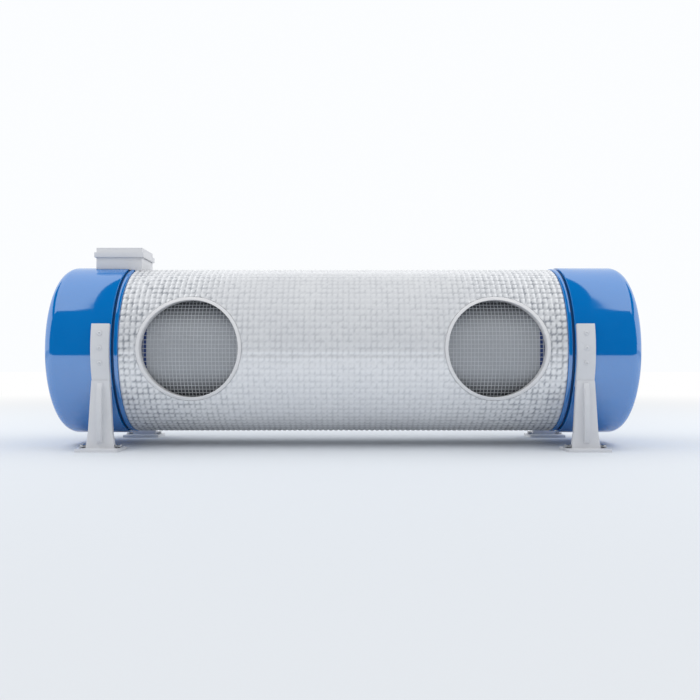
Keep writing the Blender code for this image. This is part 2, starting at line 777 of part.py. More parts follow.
def junction_box():
    half_length = BOX_LENGTH / 2
    obj = rectangle_between(
        "junction_box", half_length, BOX_HALF_WIDTH, TUBE_RADIUS - BOX_SINK, BOX_RIM_Z, "box_grey"
    )
    cavity = rectangle_between(
        "box_cavity",
        half_length - BOX_WALL,
        BOX_HALF_WIDTH - BOX_WALL,
        BOX_FLOOR_Z,
        BOX_RIM_Z + CUT_MARGIN,
    )
    combine(obj, cavity, "DIFFERENCE")
    bosses = rods(
        "box_bosses",
        [((x, y, BOX_FLOOR_Z - BOX_FLOOR / 2), (x, y, BOX_RIM_Z), BOSS_RADIUS) for x, y in boss_places()],
    )
    combine(obj, bosses, "UNION")
    screw_holes = rods(
        "box_screw_holes",
        [
            (
                (x, y, BOX_RIM_Z - BOX_SCREW_DEPTH),
                (x, y, BOX_RIM_Z + CUT_MARGIN),
                LID_SCREW_RADIUS + HOLE_CLEARANCE,
            )
            for x, y in boss_places()
        ],
        steps=SCREW_STEPS,
    )
    combine(obj, screw_holes, "DIFFERENCE")
    saddle_profile = [
        (CAP_END + CUT_MARGIN, 0),
        (CAP_END + CUT_MARGIN, CAP_RADIUS + GAP),
        (CAP_START - GAP / 2, CAP_RADIUS + GAP),
        (CAP_START - GAP / 2, TUBE_RADIUS + COLLAR_PROUD + GAP),
        (TUBE_HALF_LENGTH, TUBE_RADIUS + COLLAR_PROUD + GAP),
        (TUBE_HALF_LENGTH, TUBE_RADIUS + GAP),
        (TUBE_HALF_LENGTH - BOX_LENGTH, TUBE_RADIUS + GAP),
        (TUBE_HALF_LENGTH - BOX_LENGTH, 0),
    ]
    saddle = along_tube(turned("box_saddle", saddle_profile, closed=False), -1)
    combine(obj, saddle, "DIFFERENCE")
    combine(obj, stud_holes(), "DIFFERENCE")
    gland_z = BOX_RIM_Z - CABLE_DROP
    hole = rods(
        "cable_gland_hole",
        [
            (
                (-BOX_X, BOX_HALF_WIDTH - BOX_WALL - CUT_MARGIN, gland_z),
                (-BOX_X, BOX_HALF_WIDTH + CUT_MARGIN, gland_z),
                CABLE_THREAD_RADIUS + HOLE_CLEARANCE,
            )
        ],
    )
    combine(obj, hole, "DIFFERENCE")


def cable_gland():
    """A hollow gland with its flange on the box's back wall, open right through."""
    wall = BOX_HALF_WIDTH + GAP
    hex_end = wall + CABLE_HEX_LENGTH
    mouth = hex_end + CABLE_DOME_LENGTH
    inside = BOX_HALF_WIDTH - BOX_WALL - CABLE_THREAD_INSIDE
    profile = [
        (mouth, CABLE_MOUTH_RADIUS),
        (mouth - CABLE_DOME_LENGTH / 3, CABLE_DOME_RADIUS),
        (hex_end, CABLE_DOME_RADIUS),
        (hex_end, CABLE_HEX_RADIUS),
        (wall, CABLE_HEX_RADIUS),
        (wall, CABLE_THREAD_RADIUS),
        (inside, CABLE_THREAD_RADIUS),
        (inside, CABLE_BORE_RADIUS),
        (mouth, CABLE_BORE_RADIUS),
    ]
    obj = turned("cable_gland", profile, "box_grey", steps=ROD_STEPS)
    obj.location = (-BOX_X, 0, AXIS_HEIGHT + BOX_RIM_Z - CABLE_DROP)
    obj.rotation_euler = (-math.pi / 2, 0, 0)


def box_lid():
    """A lipped lid with its gasket and captive screws, which lift off together."""
    half_length = BOX_LENGTH / 2
    lip = LID_FIT + LID_LIP_WALL
    skirt_low = BOX_RIM_Z - LID_SKIRT
    obj = rectangle_between(
        "box_lid", half_length, BOX_HALF_WIDTH, LID_SEAT_Z, LID_TOP_Z, "box_grey"
    )
    rim = rectangle_between(
        "lid_lip", half_length + lip, BOX_HALF_WIDTH + lip, skirt_low, skirt_low + LID_LIP_HEIGHT
    )
    combine(obj, rim, "UNION")
    opening = rectangle_between(
        "lid_opening",
        half_length + LID_FIT,
        BOX_HALF_WIDTH + LID_FIT,
        skirt_low - CUT_MARGIN,
        LID_SEAT_Z,
    )
    combine(obj, opening, "DIFFERENCE")
    hollow = rectangle_between(
        "lid_hollow",
        half_length - LID_WALL,
        BOX_HALF_WIDTH - LID_WALL,
        skirt_low - CUT_MARGIN,
        LID_TOP_Z - LID_TOP,
    )
    combine(obj, hollow, "DIFFERENCE")
    columns = rods(
        "lid_bosses",
        [((x, y, BOX_RIM_Z + GAP), (x, y, LID_TOP_Z - LID_TOP / 2), BOSS_RADIUS) for x, y in boss_places()],
    )
    combine(obj, columns, "UNION")
    head_seat = LID_TOP_Z - LID_SCREW_HEAD_HEIGHT - 2 * GAP
    bars = []
    for x, y in boss_places():
        bars.append(((x, y, skirt_low), (x, y, head_seat + GAP), LID_SCREW_RADIUS + HOLE_CLEARANCE))
    shanks = rods("lid_screw_holes", bars, steps=SCREW_STEPS)
    combine(obj, shanks, "DIFFERENCE")
    pockets = rods(
        "lid_head_pockets",
        [
            ((x, y, head_seat), (x, y, LID_TOP_Z + CUT_MARGIN), LID_SCREW_HEAD + HOLE_CLEARANCE)
            for x, y in boss_places()
        ],
    )
    combine(obj, pockets, "DIFFERENCE")
    for number, (x, y) in enumerate(boss_places()):
        headed_rod(
            f"lid_screw_{number + 1}",
            (x, y, head_seat + GAP),
            (x, y, BOX_RIM_Z - LID_SCREW_GRIP),
            LID_SCREW_HEAD,
            LID_SCREW_HEAD_HEIGHT,
            LID_SCREW_RADIUS,
            "steel",
            SCREW_STEPS,
            ROD_STEPS,
        )
    gasket = rectangle_between(
        "lid_gasket",
        half_length - LID_GASKET_MARGIN,
        BOX_HALF_WIDTH - LID_GASKET_MARGIN,
        BOX_RIM_Z + GAP,
        LID_SEAT_Z - GAP,
        "black_rubber",
    )
    clear_of_bosses = BOX_WALL - BOSS_OVERLAP - GAP
    inside = rectangle_between(
        "gasket_opening",
        half_length - clear_of_bosses,
        BOX_HALF_WIDTH - clear_of_bosses,
        BOX_RIM_Z - CUT_MARGIN,
        LID_SEAT_Z + CUT_MARGIN,
    )
    combine(gasket, inside, "DIFFERENCE")


def strap_outline():
    """The strap's side, as (distance from the axis, height) along its two arcs."""
    span = STRAP_TOP_ANGLE - STRAP_LOW_ANGLE
    angles = [STRAP_LOW_ANGLE + span * step / STRAP_STEPS for step in range(STRAP_STEPS + 1)]
    outer = [(STRAP_OUTER * math.cos(angle), STRAP_OUTER * math.sin(angle)) for angle in angles]
    inner = [(STRAP_INNER * math.cos(angle), STRAP_INNER * math.sin(angle)) for angle in angles]
    return outer + inner[::-1]


def leg(side, face):
    """One bracket: a strap round the cap, a flared plate with a rib, and a foot."""
    name = f"leg_{face_name(face)}_{side_name(side)}"
    inner_face = LEG_FACE - LEG_THICKNESS
    top = -math.sqrt(STRAP_INNER**2 - (inner_face - 2 * GAP) ** 2)
    floor = -AXIS_HEIGHT
    foot_top = floor + FOOT_THICKNESS
    flare_z = floor + LEG_FLARE_HEIGHT
    half_top, half_foot = STRAP_WIDTH / 2, LEG_FOOT_WIDTH / 2

    obj = outline_plate(name, strap_outline(), STRAP_WIDTH, "bracket_grey")
    obj.location = (side * LEG_X, 0, AXIS_HEIGHT)
    obj.rotation_euler = (math.pi / 2, 0, face * math.pi / 2)

    plate_outline = [
        (-half_foot, foot_top - FOOT_THICKNESS / 2),
        (half_foot, foot_top - FOOT_THICKNESS / 2),
        (half_foot - LEG_FLARE, flare_z),
        (half_top, top),
        (-half_top, top),
        (-half_foot + LEG_FLARE, flare_z),
    ]
    plate = outline_plate(f"{name}_plate", plate_outline, LEG_THICKNESS)
    plate.location = (side * LEG_X, face * (LEG_FACE - LEG_THICKNESS / 2), AXIS_HEIGHT)
    plate.rotation_euler = (math.pi / 2, 0, 0)
    combine(obj, plate, "UNION")

    rib_low = floor + RIB_LOW_END
    root = LEG_FACE - LEG_THICKNESS / 3
    crest = LEG_FACE + RIB_DEPTH
    rib_outline = [
        (root, rib_low),
        (LEG_FACE + RIB_DEPTH / 4, rib_low),
        (crest, rib_low + RIB_DEPTH),
        (crest, top - 2 * RIB_DEPTH),
        (LEG_FACE + RIB_DEPTH / 4, top - RIB_DEPTH / 2),
        (root, top - RIB_DEPTH / 2),
    ]
    rib = outline_plate(f"{name}_rib", rib_outline, RIB_WIDTH)
    rib.location = (side * LEG_X, 0, AXIS_HEIGHT)
    rib.rotation_euler = (math.pi / 2, 0, face * math.pi / 2)
    combine(obj, rib, "UNION")

    foot_y = LEG_FACE - FOOT_SHIFT
    near, far = foot_y - FOOT_DEPTH / 2, foot_y + FOOT_DEPTH / 2
    foot = box(
        f"{name}_foot",
        (side * LEG_X - FOOT_WIDTH / 2, min(face * near, face * far), floor),
        (side * LEG_X + FOOT_WIDTH / 2, max(face * near, face * far), foot_top),
    )
    combine(obj, foot, "UNION")
    holes = rods(
        f"{name}_bolt_holes",
        [
            (
                (side * LEG_X + offset, face * foot_y, floor - CUT_MARGIN),
                (side * LEG_X + offset, face * foot_y, foot_top + CUT_MARGIN),
                FOOT_HOLE_RADIUS,
            )
            for offset in (-FOOT_HOLE_X, FOOT_HOLE_X)
        ],
    )
    combine(obj, holes, "DIFFERENCE")
    combine(obj, bpy.data.objects[f"strap_holes_{side_name(side)}"], "DIFFERENCE")


def strap_screws(side, face):
    for number, angle in enumerate(strap_screw_angles()):
        headed_rod(
            f"strap_screw_{face_name(face)}_{side_name(side)}_{number + 1}",
            strap_point(side, face, angle, STRAP_OUTER + GAP),
            strap_point(side, face, angle, BULKHEAD_RADIUS - STRAP_SCREW_GRIP),
            STRAP_SCREW_HEAD,
            STRAP_SCREW_HEAD_HEIGHT,
            STRAP_SCREW_RADIUS,
            "steel",
            SCREW_STEPS,
            SCREW_STEPS,
        )


def legs():
    for side in SIDES:
        for face in FACES:
            leg(side, face)
            strap_screws(side, face)


def build():
    tube()
    port_rings()
    collars_and_seals()
    end_caps()
    bulkheads()
    screen()
    spacers()
    plates()
    tie_bolts()
    feed_parts()
    studs_and_block()
    junction_box()
    cable_gland()
    box_lid()
    legs()


build()
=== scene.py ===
import math

import bmesh
import bpy
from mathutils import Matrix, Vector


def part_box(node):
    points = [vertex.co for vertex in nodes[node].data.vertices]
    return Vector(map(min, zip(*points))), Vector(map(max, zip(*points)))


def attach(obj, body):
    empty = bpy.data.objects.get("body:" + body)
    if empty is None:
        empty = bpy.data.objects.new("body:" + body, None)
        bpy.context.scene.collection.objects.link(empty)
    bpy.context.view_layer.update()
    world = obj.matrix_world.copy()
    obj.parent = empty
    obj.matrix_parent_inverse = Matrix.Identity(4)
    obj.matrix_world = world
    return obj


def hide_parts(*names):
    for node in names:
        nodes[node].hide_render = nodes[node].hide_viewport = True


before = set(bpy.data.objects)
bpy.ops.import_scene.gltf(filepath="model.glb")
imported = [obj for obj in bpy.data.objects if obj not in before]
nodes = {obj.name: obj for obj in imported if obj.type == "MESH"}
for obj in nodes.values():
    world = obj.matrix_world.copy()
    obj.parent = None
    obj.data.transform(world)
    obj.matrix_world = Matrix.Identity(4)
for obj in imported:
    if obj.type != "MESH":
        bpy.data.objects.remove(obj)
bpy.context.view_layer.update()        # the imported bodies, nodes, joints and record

capLow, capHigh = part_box("end_cap_left")
axisZ = (capLow.z + capHigh.z) / 2    # height of the tube's axis
print("frame loaded:", len(nodes), "nodes")


# small helpers for working in object and edit mode

def clearSelection():
    if bpy.context.mode != "OBJECT":
        bpy.ops.object.mode_set(mode="OBJECT")
    bpy.ops.object.select_all(action="DESELECT")


def activate(piece):
    clearSelection()
    piece.select_set(True)
    bpy.context.view_layer.objects.active = piece


def startEdit(piece):
    activate(piece)
    bpy.ops.object.mode_set(mode="EDIT")
    bpy.ops.mesh.select_mode(type="VERT")
    bpy.ops.mesh.select_all(action="SELECT")


def endEdit():
    bpy.ops.object.mode_set(mode="OBJECT")


def pick(piece, test, kind="VERT"):
    # selects the vertices, edges or faces that pass the test
    bpy.ops.mesh.select_mode(type=kind)
    bpy.ops.mesh.select_all(action="DESELECT")
    shape = bmesh.from_edit_mesh(piece.data)
    parts = {"VERT": shape.verts, "EDGE": shape.edges, "FACE": shape.faces}[kind]
    for part in parts:
        if test(part):
            part.select_set(True)
    shape.select_flush_mode()
    bmesh.update_edit_mesh(piece.data)


def setPlace(piece, location=(0, 0, 0), rotation=(0, 0, 0)):
    piece.location = location
    piece.rotation_euler = rotation
    activate(piece)
    bpy.ops.object.transform_apply(location=True, rotation=True, scale=True)


def useModifier(piece, kind, **settings):
    activate(piece)
    modifier = piece.modifiers.new(kind.lower(), kind)
    for key, value in settings.items():
        setattr(modifier, key, value)
    bpy.ops.object.modifier_apply(modifier=modifier.name)


def roundEdges(piece, width, segments=2, angle=35):
    useModifier(piece, "BEVEL", width=width, segments=segments, limit_method="ANGLE",
                angle_limit=math.radians(angle), harden_normals=False)


def smoothPiece(piece, angle=40):
    activate(piece)
    bpy.ops.object.shade_smooth_by_angle(angle=math.radians(angle))


def joinPieces(pieces, name):
    activate(pieces[0])
    for piece in pieces[1:]:
        piece.select_set(True)
    if len(pieces) > 1:
        bpy.ops.object.join()
    pieces[0].name = name
    return pieces[0]


def turned(name, rings, sides, hollow=False, location=(0, 0, 0), rotation=(0, 0, 0)):
    # a circle drawn out along Z through (height, radius) rings
    clearSelection()
    height, radius = rings[0]
    bpy.ops.mesh.primitive_circle_add(vertices=sides, radius=radius, location=(0, 0, height))
    piece = bpy.context.object
    piece.name = name
    bpy.ops.object.transform_apply(location=True, rotation=True, scale=True)
    startEdit(piece)
    for nextHeight, nextRadius in rings[1:]:
        step = (0, 0, nextHeight - height)
        bpy.ops.mesh.extrude_region_move(TRANSFORM_OT_translate={"value": step})
        share = nextRadius / radius
        bpy.ops.transform.resize(value=(share, share, 1), center_override=(0, 0, nextHeight))
        height, radius = nextHeight, nextRadius
    if hollow:
        bpy.ops.mesh.select_all(action="DESELECT")
        bpy.ops.mesh.select_mode(type="EDGE")
        bpy.ops.mesh.select_non_manifold()
        bpy.ops.mesh.bridge_edge_loops()
    else:
        bpy.ops.mesh.select_all(action="SELECT")
        bpy.ops.mesh.fill_holes(sides=0)
    bpy.ops.mesh.select_all(action="SELECT")
    bpy.ops.mesh.normals_make_consistent(inside=False)
    endEdit()
    setPlace(piece, location, rotation)
    return piece


def arcRings(height, radius, bend, startAngle, endAngle, steps):
    # rings on an arc of radius bend, around (height, radius)
    found = []
    for step in range(steps + 1):
        angle = math.radians(startAngle + (endAngle - startAngle) * step / steps)
        found.append((height + bend * math.sin(angle), radius + bend * math.cos(angle)))
    return found


def freeCopy(nodeName, name):
    # a merged copy of a CAD node, free to be shaped
    source = nodes[nodeName]
    piece = source.copy()
    piece.data = source.data.copy()
    piece.name = name
    piece.parent = None
    for key in list(piece.keys()):
        del piece[key]
    bpy.context.scene.collection.objects.link(piece)
    startEdit(piece)
    bpy.ops.mesh.remove_doubles(threshold=0.00002)
    bpy.ops.mesh.dissolve_limited(angle_limit=math.radians(0.6))
    bpy.ops.mesh.normals_make_consistent(inside=False)
    endEdit()
    return piece


def softened(nodeName, name, width, segments=2, smoothAngle=35, bevelAngle=40):
    piece = freeCopy(nodeName, name)
    roundEdges(piece, width, segments, bevelAngle)
    smoothPiece(piece, smoothAngle)
    return piece


def finishPiece(piece, look, body, slotName, *replaced):
    piece.data.materials.clear()
    piece.data.materials.append(look)
    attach(piece, body)
    if replaced:
        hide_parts(*replaced)
    return piece


# finishes

class Wire:
    # a socket of a finish; sums and products of it add Math nodes
    def __init__(self, finish, socket):
        self.finish = finish
        self.socket = socket

    def math(self, operation, first, second):
        return self.finish.math(operation, first, second)

    def __add__(self, other):
        return self.math("ADD", self, other)

    def __radd__(self, other):
        return self.math("ADD", other, self)

    def __sub__(self, other):
        return self.math("SUBTRACT", self, other)

    def __rsub__(self, other):
        return self.math("SUBTRACT", other, self)

    def __mul__(self, other):
        return self.math("MULTIPLY", self, other)

    def __rmul__(self, other):
        return self.math("MULTIPLY", other, self)


class Finish:
    # the nodes of a new material, or of the world passed in
    def __init__(self, name, world=None):
        self.look = world or bpy.data.materials.new(name)
        self.look.use_nodes = True
        self.tree = self.look.node_tree
        self.tree.nodes.clear()
        self.place = self.node("ShaderNodeTexCoord", output="Object")

    def node(self, kind, settings=None, values=None, output=0):
        made = self.tree.nodes.new(kind)
        for key, value in (settings or {}).items():
            if key == "stops":
                ramp = made.color_ramp
                while len(ramp.elements) < len(value):
                    ramp.elements.new(0.5)
                for element, (position, level) in zip(ramp.elements, value):
                    element.position = position
                    element.color = (level, level, level, 1)
            else:
                setattr(made, key, value)
        for socket, value in (values or {}).items():
            if isinstance(value, Wire):
                self.tree.links.new(value.socket, made.inputs[socket])
            else:
                made.inputs[socket].default_value = value
        return Wire(self, made.outputs[output]) if made.outputs else made

    def math(self, operation, first, second=0.0):
        return self.node("ShaderNodeMath", {"operation": operation}, {0: first, 1: second})

    def noise(self, scale, detail=3, vector=None):
        values = {"Vector": vector or self.place, "Scale": scale, "Detail": detail}
        return self.node("ShaderNodeTexNoise", {}, values)

    def stretched(self, scale):
        return self.node("ShaderNodeMapping", {}, {"Vector": self.place, "Scale": scale})

    def ramp(self, value, stops):
        return self.node("ShaderNodeValToRGB", {"stops": stops}, {"Fac": value})

    def blend(self, factor, first, second):
        values = {0: factor, 6: first, 7: second}
        return self.node("ShaderNodeMix", {"data_type": "RGBA"}, values, output=2)

    def bump(self, height, strength, distance):
        values = {"Strength": strength, "Distance": distance, "Height": height}
        return self.node("ShaderNodeBump", {}, values)

    def close(self, values):
        return self.send(self.node("ShaderNodeBsdfPrincipled", {}, values))

    def send(self, shader, kind="ShaderNodeOutputMaterial"):
        self.node(kind, {}, {"Surface": shader})
        return self.look


def rgb(red, green, blue):
    return (red, green, blue, 1)


def mouldedLook(name, tone, shade, gloss, grain=900, grainDepth=0.00004, cloud=14, ior=1.45,
                spread=0.12):
    # injection-moulded plastic: soft clouds of tone, fine grain, faint flow lines
    finish = Finish(name)
    clouds = finish.noise(cloud, 4)
    fine = finish.noise(grain, 2)
    handled = finish.noise(38, 5)
    tint = finish.ramp(clouds, ((0.36, 0), (0.66, 1)))
    colour = finish.blend(tint, tone, shade)
    rough = gloss + (handled - 0.5) * spread + (fine - 0.5) * 0.05
    normal = finish.bump(fine + handled * 0.6, 0.35, grainDepth)
    return finish.close({"Base Color": colour, "Roughness": rough, "Normal": normal, "IOR": ior})


def metalLook(name, tone, shade, gloss, brush=(40, 900, 900), depth=0.00003):
    finish = Finish(name)
    grain = finish.noise(1, 3, finish.stretched(brush))
    clouds = finish.noise(22, 4)
    colour = finish.blend(finish.ramp(clouds, ((0.38, 0), (0.64, 1))), tone, shade)
    rough = gloss + (grain - 0.5) * 0.14 + (clouds - 0.5) * 0.12
    normal = finish.bump(grain, 0.4, depth)
    values = {"Base Color": colour, "Roughness": rough, "Normal": normal, "Metallic": 1}
    return finish.close(values)


def tubeLook(name, tone, shade, valleyShadeTone, lowRadius, highRadius):
    # embossed white plastic: painted shade darkens the lines between the cells, in patches, more so
    # near the ends
    finish = Finish(name)
    across = finish.node("ShaderNodeMapping", {}, {"Vector": finish.place, "Location": (0, 0, -axisZ),
                                                   "Scale": (0, 1, 1)})
    radius = finish.node("ShaderNodeVectorMath", {"operation": "LENGTH"}, {0: across}, output=1)
    valley = finish.node("ShaderNodeMapRange", {},
                         {0: radius, 1: lowRadius, 2: highRadius, 3: 1.0, 4: 0.0})
    along = finish.node("ShaderNodeSeparateXYZ", {}, {"Vector": finish.place})
    fromMiddle = finish.math("ABSOLUTE", along)
    ends = finish.node("ShaderNodeMapRange", {"interpolation_type": "SMOOTHSTEP"},
                       {0: fromMiddle, 1: 0.12, 2: 0.33, 3: 0.3, 4: 1.0})
    shadeMarks = finish.ramp(finish.noise(120, 2), ((0.40, 0), (0.62, 1)))
    clouds = finish.noise(14, 4)
    fine = finish.noise(700, 2)
    handled = finish.noise(38, 5)
    plastic = finish.blend(finish.ramp(clouds, ((0.36, 0), (0.66, 1))), tone, shade)
    # painted shade: the lines between the cells take the darker tone, in patches, strongest near the
    # ends
    colour = finish.blend(valley * ends * (shadeMarks * 0.75 + 0.25), plastic, valleyShadeTone)
    rough = (handled - 0.5) * 0.12 + (fine - 0.5) * 0.05 + valley * 0.12 + 0.11
    normal = finish.bump(fine + handled * 0.6, 0.35, 0.00003)
    return finish.close({"Base Color": colour, "Roughness": rough, "Normal": normal, "IOR": 2.3})


def screenLook(name, wireTone, gapTone, offAxisShadeTone, bandShadeTone, bandStart, cloth):
    # bead-blasted cloth with a fine weave of its own, painted shade towards its top and bottom, and a
    # dark blue band at each end, the drum's blue with painted shade
    finish = Finish(name)
    along = finish.node("ShaderNodeSeparateXYZ", {}, {"Vector": finish.place})
    weave = finish.node("ShaderNodeTexWave", {"bands_direction": "X"},
                        {"Vector": finish.place, "Scale": cloth, "Distortion": 0.6, "Detail": 1.0})
    clouds = finish.noise(26, 4)
    metal = finish.blend(weave * 0.6 + clouds * 0.4, gapTone, wireTone)
    # painted shade: the cloth darkens away from the axis, towards its top and bottom
    high = finish.node("ShaderNodeSeparateXYZ", {}, {"Vector": finish.place}, output=2)
    offAxis = finish.math("ABSOLUTE", high - axisZ)
    edge = finish.node("ShaderNodeMapRange", {"interpolation_type": "SMOOTHSTEP"},
                       {0: offAxis, 1: 0.03, 2: 0.078, 3: 0.0, 4: 1.0})
    metal = finish.blend(edge, metal, offAxisShadeTone)
    # the end bands: the drum's blue with painted shade, where the drum shows beyond the wires
    band = finish.math("GREATER_THAN", finish.math("ABSOLUTE", along), bandStart)
    colour = finish.blend(band, metal, bandShadeTone)
    normal = finish.bump(weave, 0.4, 0.0001)
    rough = 0.5 + (clouds - 0.5) * 0.2
    return finish.close({"Base Color": colour, "Roughness": rough, "Normal": normal})


looks = {
    # the tube's third colour is painted shade for the lines between its cells
    "tube_white": tubeLook("tubeWhite", rgb(0.88, 0.89, 0.91), rgb(0.85, 0.86, 0.885),
                           rgb(0.34, 0.36, 0.40), 0.1388, 0.1401),
    "port_white": mouldedLook("portWhite", rgb(0.80, 0.80, 0.81), rgb(0.77, 0.77, 0.785), 0.3, 800),
    "cap_blue": mouldedLook("capBlue", rgb(0.0015, 0.20, 0.61), rgb(0.001, 0.185, 0.58), 0.07,
                            1200, 0.000004, 9, 2.5, 0.03),
    "seal_navy": mouldedLook("sealNavy", rgb(0.002, 0.05, 0.16), rgb(0.003, 0.06, 0.19), 0.5),
    "bracket_grey": mouldedLook("bracketGrey", rgb(0.70, 0.71, 0.74), rgb(0.65, 0.66, 0.69), 0.42,
                                1100),
    "box_grey": mouldedLook("boxGrey", rgb(0.76, 0.765, 0.79), rgb(0.72, 0.725, 0.75), 0.4, 1100),
    "black_rubber": mouldedLook("blackRubber", rgb(0.018, 0.018, 0.02), rgb(0.03, 0.03, 0.032),
                                0.62, 1500),
    "screen_titanium": mouldedLook("screenWire", rgb(0.62, 0.64, 0.67), rgb(0.52, 0.54, 0.57),
                                   0.4, 1400),
    # the cloth's third colour is painted shade towards its top and bottom, its fourth the drum's blue
    # with painted shade
    "screen_cloth": screenLook("screenCloth", rgb(0.40, 0.42, 0.45), rgb(0.31, 0.325, 0.35),
                               rgb(0.05, 0.053, 0.06), rgb(0.01, 0.035, 0.16), 0.3155, 420),
    "plate_oxide": metalLook("plateOxide", rgb(0.16, 0.165, 0.18), rgb(0.10, 0.105, 0.12), 0.5,
                             (30, 400, 400)),
    "rod_titanium": metalLook("rodTitanium", rgb(0.55, 0.55, 0.56), rgb(0.46, 0.46, 0.48), 0.34),
    "link_copper": metalLook("linkCopper", rgb(0.78, 0.42, 0.26), rgb(0.55, 0.27, 0.17), 0.36),
    "spacer_white": mouldedLook("spacerWhite", rgb(0.74, 0.74, 0.72), rgb(0.68, 0.68, 0.66), 0.45),
    "block_cream": mouldedLook("blockCream", rgb(0.72, 0.66, 0.50), rgb(0.66, 0.60, 0.45), 0.4),
    "steel": metalLook("screwSteel", rgb(0.62, 0.63, 0.65), rgb(0.52, 0.53, 0.55), 0.28,
                       (600, 600, 600)),
}
print("finishes made:", len(looks))


# CAD nodes that keep their shape take the finish of their slot

kept = {
    "bulkhead_gasket": "black_rubber", "bulkhead": "spacer_white", "spacer": "spacer_white",
    "electrode_plate": "plate_oxide", "tie_bolt": "rod_titanium", "feed_rod": "rod_titanium",
    "feed_lug": "rod_titanium", "rod_gland": "black_rubber", "stud_link": "link_copper",
    "terminal_stud": "steel", "screen_sleeve": "screen_cloth", "terminal_block": "block_cream",
    "lid_gasket": "black_rubber",
}
for nodeName, node in nodes.items():
    for start, slotName in kept.items():
        if nodeName.startswith(start):
            node.data.materials.clear()
            node.data.materials.append(looks[slotName])
            break
print("inner nodes finished")


# the tube: one row of raised cells, repeated along it, then its ends, bore and port holes

tube = {
    "radius": 0.1388, "crest": 0.0015, "cells": 80, "length": 0.714, "rows": 80,
    "pointsPerCell": 3, "edgeShare": 0.1, "weld": 0.00001, "shoulder": 0.0003,
    "spigotRadius": 0.135, "spigotEnd": 0.3747, "boreRadius": 0.130,
    "portX": 0.2453, "portHole": 0.0843, "cutterSides": 120, "cutterDepth": 0.12, "cutterY": -0.14,
}
pitch = tube["length"] / tube["rows"]
halfLength = tube["length"] / 2
clearSelection()
bpy.ops.mesh.primitive_circle_add(vertices=tube["cells"] * tube["pointsPerCell"], radius=tube["radius"])
skin = bpy.context.object
skin.name = "tube_skin"
startEdit(skin)
for step in range(tube["pointsPerCell"]):
    rise = (0, 0, pitch / tube["pointsPerCell"])
    bpy.ops.mesh.extrude_region_move(TRANSFORM_OT_translate={"value": rise})


def onCell(vert):
    # the four inner points of each cell, off the lines between the cells
    points = tube["pointsPerCell"]
    turn = math.atan2(vert.co.y, vert.co.x) / (2 * math.pi) * tube["cells"] * points
    share = vert.co.z / pitch
    return tube["edgeShare"] < share < 1 - tube["edgeShare"] and round(turn) % points != 0


pick(skin, onCell)
grow = (tube["radius"] + tube["crest"]) / tube["radius"]
bpy.ops.transform.resize(value=(grow, grow, 1), center_override=(0, 0, 0))
endEdit()
useModifier(skin, "ARRAY", count=tube["rows"], use_relative_offset=False, use_constant_offset=True,
            constant_offset_displace=(0, 0, pitch), use_merge_vertices=True,
            merge_threshold=tube["weld"])
setPlace(skin, (-halfLength, 0, axisZ), (0, math.pi / 2, 0))
startEdit(skin)
for side in (-1, 1):
    pick(skin, lambda vert: abs(vert.co.x - side * halfLength) < 0.0001)
    share = tube["spigotRadius"] / tube["radius"]
    bpy.ops.mesh.extrude_region_move(
        TRANSFORM_OT_translate={"value": (side * tube["shoulder"], 0, 0)})
    bpy.ops.transform.resize(value=(1, share, share), center_override=(0, 0, axisZ))
    step = side * (tube["spigotEnd"] - halfLength - tube["shoulder"])
    bpy.ops.mesh.extrude_region_move(TRANSFORM_OT_translate={"value": (step, 0, 0)})
    share = tube["boreRadius"] / tube["spigotRadius"]
    bpy.ops.mesh.extrude_region_move(TRANSFORM_OT_translate={"value": (0, 0, 0)})
    bpy.ops.transform.resize(value=(1, share, share), center_override=(0, 0, axisZ))
bpy.ops.mesh.select_all(action="DESELECT")
bpy.ops.mesh.select_mode(type="EDGE")
bpy.ops.mesh.select_non_manifold()
bpy.ops.mesh.bridge_edge_loops()
bpy.ops.mesh.select_all(action="SELECT")
bpy.ops.mesh.normals_make_consistent(inside=False)
endEdit()
for side in (-1, 1):
    clearSelection()
    bpy.ops.mesh.primitive_cylinder_add(vertices=tube["cutterSides"], radius=tube["portHole"],
                                        depth=tube["cutterDepth"],
                                        location=(side * tube["portX"], tube["cutterY"], axisZ),
                                        rotation=(math.pi / 2, 0, 0))
    cutter = bpy.context.object
    useModifier(skin, "BOOLEAN", operation="DIFFERENCE", solver="EXACT", object=cutter)
    bpy.data.objects.remove(cutter)
smoothPiece(skin, 42)
finishPiece(skin, looks["tube_white"], "cell", "tube_white", "housing_tube")
print("tube skin made:", len(skin.data.polygons), "faces")


# screen: hoops and long wires welded into one sleeve

screen = {"hoopRadius": 0.1198, "longRadius": 0.1197, "wire": 0.00045, "pitch": 0.0058,
          "halfLength": 0.3765, "longs": 108, "hoopSteps": 84, "hoopSides": 4, "longSides": 5}
hoopCount = int(2 * screen["halfLength"] / screen["pitch"]) + 1
firstX = -(hoopCount - 1) * screen["pitch"] / 2
clearSelection()
bpy.ops.mesh.primitive_torus_add(major_radius=screen["hoopRadius"], minor_radius=screen["wire"],
                                 major_segments=screen["hoopSteps"],
                                 minor_segments=screen["hoopSides"])
hoops = bpy.context.object
useModifier(hoops, "ARRAY", count=hoopCount, use_relative_offset=False, use_constant_offset=True,
            constant_offset_displace=(0, 0, screen["pitch"]))
setPlace(hoops, (firstX, 0, axisZ), (0, math.pi / 2, 0))
clearSelection()
bpy.ops.mesh.primitive_cylinder_add(vertices=screen["longSides"], radius=screen["wire"],
                                    depth=2 * screen["halfLength"],
                                    location=(0, 0, axisZ + screen["longRadius"]),
                                    rotation=(0, math.pi / 2, 0))
longWires = bpy.context.object
bpy.ops.object.transform_apply(location=True, rotation=True, scale=True)
startEdit(longWires)
